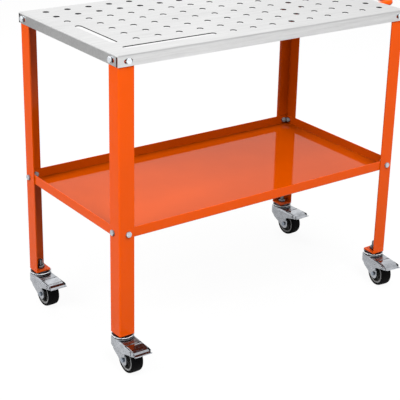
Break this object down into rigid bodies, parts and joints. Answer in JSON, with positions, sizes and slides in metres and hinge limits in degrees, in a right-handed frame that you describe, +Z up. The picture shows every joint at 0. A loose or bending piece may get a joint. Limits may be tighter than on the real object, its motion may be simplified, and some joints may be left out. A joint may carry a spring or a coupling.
{
  "type": "mobile welding table",
  "caption": "Mobile welding table: folded perforated steel top with clamp slots, angle legs, lower tray, push handle and braked swivel casters",
  "frame": {"origin": "on the floor, under the middle of the part's box", "axes": "+X along the top's length towards the push handle, +Y across to the back edge, +Z up"},
  "size_m": [1.0062, 0.5696, 0.8179],
  "materials": {
    "top_sheet": "satin zinc plated sheet",
    "orange_paint": "glossy powder coat",
    "plated_steel": "bright zinc plating",
    "hub_grey": "moulded plastic",
    "tyre_black": "matt rubber"
  },
  "bodies": {
    "table": {"caster_nut_back_left": "plated_steel", "caster_nut_back_right": "plated_steel", "caster_nut_front_left": "plated_steel", "caster_nut_front_right": "plated_steel", "caster_stem_back_left": "plated_steel", "caster_stem_back_right": "plated_steel", "caster_stem_front_left": "plated_steel", "caster_stem_front_right": "plated_steel", "handle_bolt_back": "plated_steel", "handle_bolt_front": "plated_steel", "leg_back_left": "orange_paint", "leg_back_right": "orange_paint", "leg_front_left": "orange_paint", "leg_front_right": "orange_paint", "push_handle": "orange_paint", "table_top": "top_sheet", "top_bolt_back_left_end": "plated_steel", "top_bolt_back_left_long": "plated_steel", "top_bolt_back_right_end": "plated_steel", "top_bolt_back_right_long": "plated_steel", "top_bolt_front_left_end": "plated_steel", "top_bolt_front_left_long": "plated_steel", "top_bolt_front_right_end": "plated_steel", "top_bolt_front_right_long": "plated_steel", "tray_bolt_back_left_end": "plated_steel", "tray_bolt_back_left_long": "plated_steel", "tray_bolt_back_right_end": "plated_steel", "tray_bolt_back_right_long": "plated_steel", "tray_bolt_front_left_end": "plated_steel", "tray_bolt_front_left_long": "plated_steel", "tray_bolt_front_right_end": "plated_steel", "tray_bolt_front_right_long": "plated_steel", "tray_shelf": "orange_paint"},
    "fork_front_left": {"caster_fork_front_left": "plated_steel", "wheel_axle_front_left": "plated_steel"},
    "wheel_front_left": {"wheel_hub_front_left": "hub_grey", "wheel_tyre_front_left": "tyre_black"},
    "pedal_front_left": {"brake_pedal_front_left": "plated_steel"},
    "fork_front_right": {"caster_fork_front_right": "plated_steel", "wheel_axle_front_right": "plated_steel"},
    "wheel_front_right": {"wheel_hub_front_right": "hub_grey", "wheel_tyre_front_right": "tyre_black"},
    "pedal_front_right": {"brake_pedal_front_right": "plated_steel"},
    "fork_back_left": {"caster_fork_back_left": "plated_steel", "wheel_axle_back_left": "plated_steel"},
    "wheel_back_left": {"wheel_hub_back_left": "hub_grey", "wheel_tyre_back_left": "tyre_black"},
    "pedal_back_left": {"brake_pedal_back_left": "plated_steel"},
    "fork_back_right": {"caster_fork_back_right": "plated_steel", "wheel_axle_back_right": "plated_steel"},
    "wheel_back_right": {"wheel_hub_back_right": "hub_grey", "wheel_tyre_back_right": "tyre_black"},
    "pedal_back_right": {"brake_pedal_back_right": "plated_steel"}
  },
  "joints": [
    {"name": "swivel_front_left", "type": "hinge", "parent": "table", "child": "fork_front_left", "pos_m": [-0.47188, -0.17645, 0.08243], "axis": [0, 0, 1], "continuous": true},
    {"name": "roll_front_left", "type": "hinge", "parent": "fork_front_left", "child": "wheel_front_left", "pos_m": [-0.47324, -0.21542, 0.03693], "axis": [0.9994, -0.0349, 0], "continuous": true},
    {"name": "brake_front_left", "type": "hinge", "parent": "fork_front_left", "child": "pedal_front_left", "pos_m": [-0.47471, -0.2574, 0.07593], "axis": [0.9994, -0.0349, 0], "range_deg": [0, 20]},
    {"name": "swivel_front_right", "type": "hinge", "parent": "table", "child": "fork_front_right", "pos_m": [0.39212, -0.17645, 0.08243], "axis": [0, 0, 1], "continuous": true},
    {"name": "roll_front_right", "type": "hinge", "parent": "fork_front_right", "child": "wheel_front_right", "pos_m": [0.38669, -0.21507, 0.03693], "axis": [0.9903, -0.1392, 0], "continuous": true},
    {"name": "brake_front_right", "type": "hinge", "parent": "fork_front_right", "child": "pedal_front_right", "pos_m": [0.38085, -0.25666, 0.07593], "axis": [0.9903, -0.1392, 0], "range_deg": [0, 20]},
    {"name": "swivel_back_left", "type": "hinge", "parent": "table", "child": "fork_back_left", "pos_m": [-0.47188, 0.25155, 0.08243], "axis": [0, 0, 1], "continuous": true},
    {"name": "roll_back_left", "type": "hinge", "parent": "fork_back_left", "child": "wheel_back_left", "pos_m": [-0.47188, 0.21255, 0.03693], "axis": [1, 0, 0], "continuous": true},
    {"name": "brake_back_left", "type": "hinge", "parent": "fork_back_left", "child": "pedal_back_left", "pos_m": [-0.47188, 0.17055, 0.07593], "axis": [1, 0, 0], "range_deg": [0, 20]},
    {"name": "swivel_back_right", "type": "hinge", "parent": "table", "child": "fork_back_right", "pos_m": [0.39212, 0.25155, 0.08243], "axis": [0, 0, 1], "continuous": true},
    {"name": "roll_back_right", "type": "hinge", "parent": "fork_back_right", "child": "wheel_back_right", "pos_m": [0.39348, 0.21258, 0.03693], "axis": [0.9994, 0.0349, 0], "continuous": true},
    {"name": "brake_back_right", "type": "hinge", "parent": "fork_back_right", "child": "pedal_back_right", "pos_m": [0.39495, 0.1706, 0.07593], "axis": [0.9994, 0.0349, 0], "range_deg": [0, 20]}
  ]
}
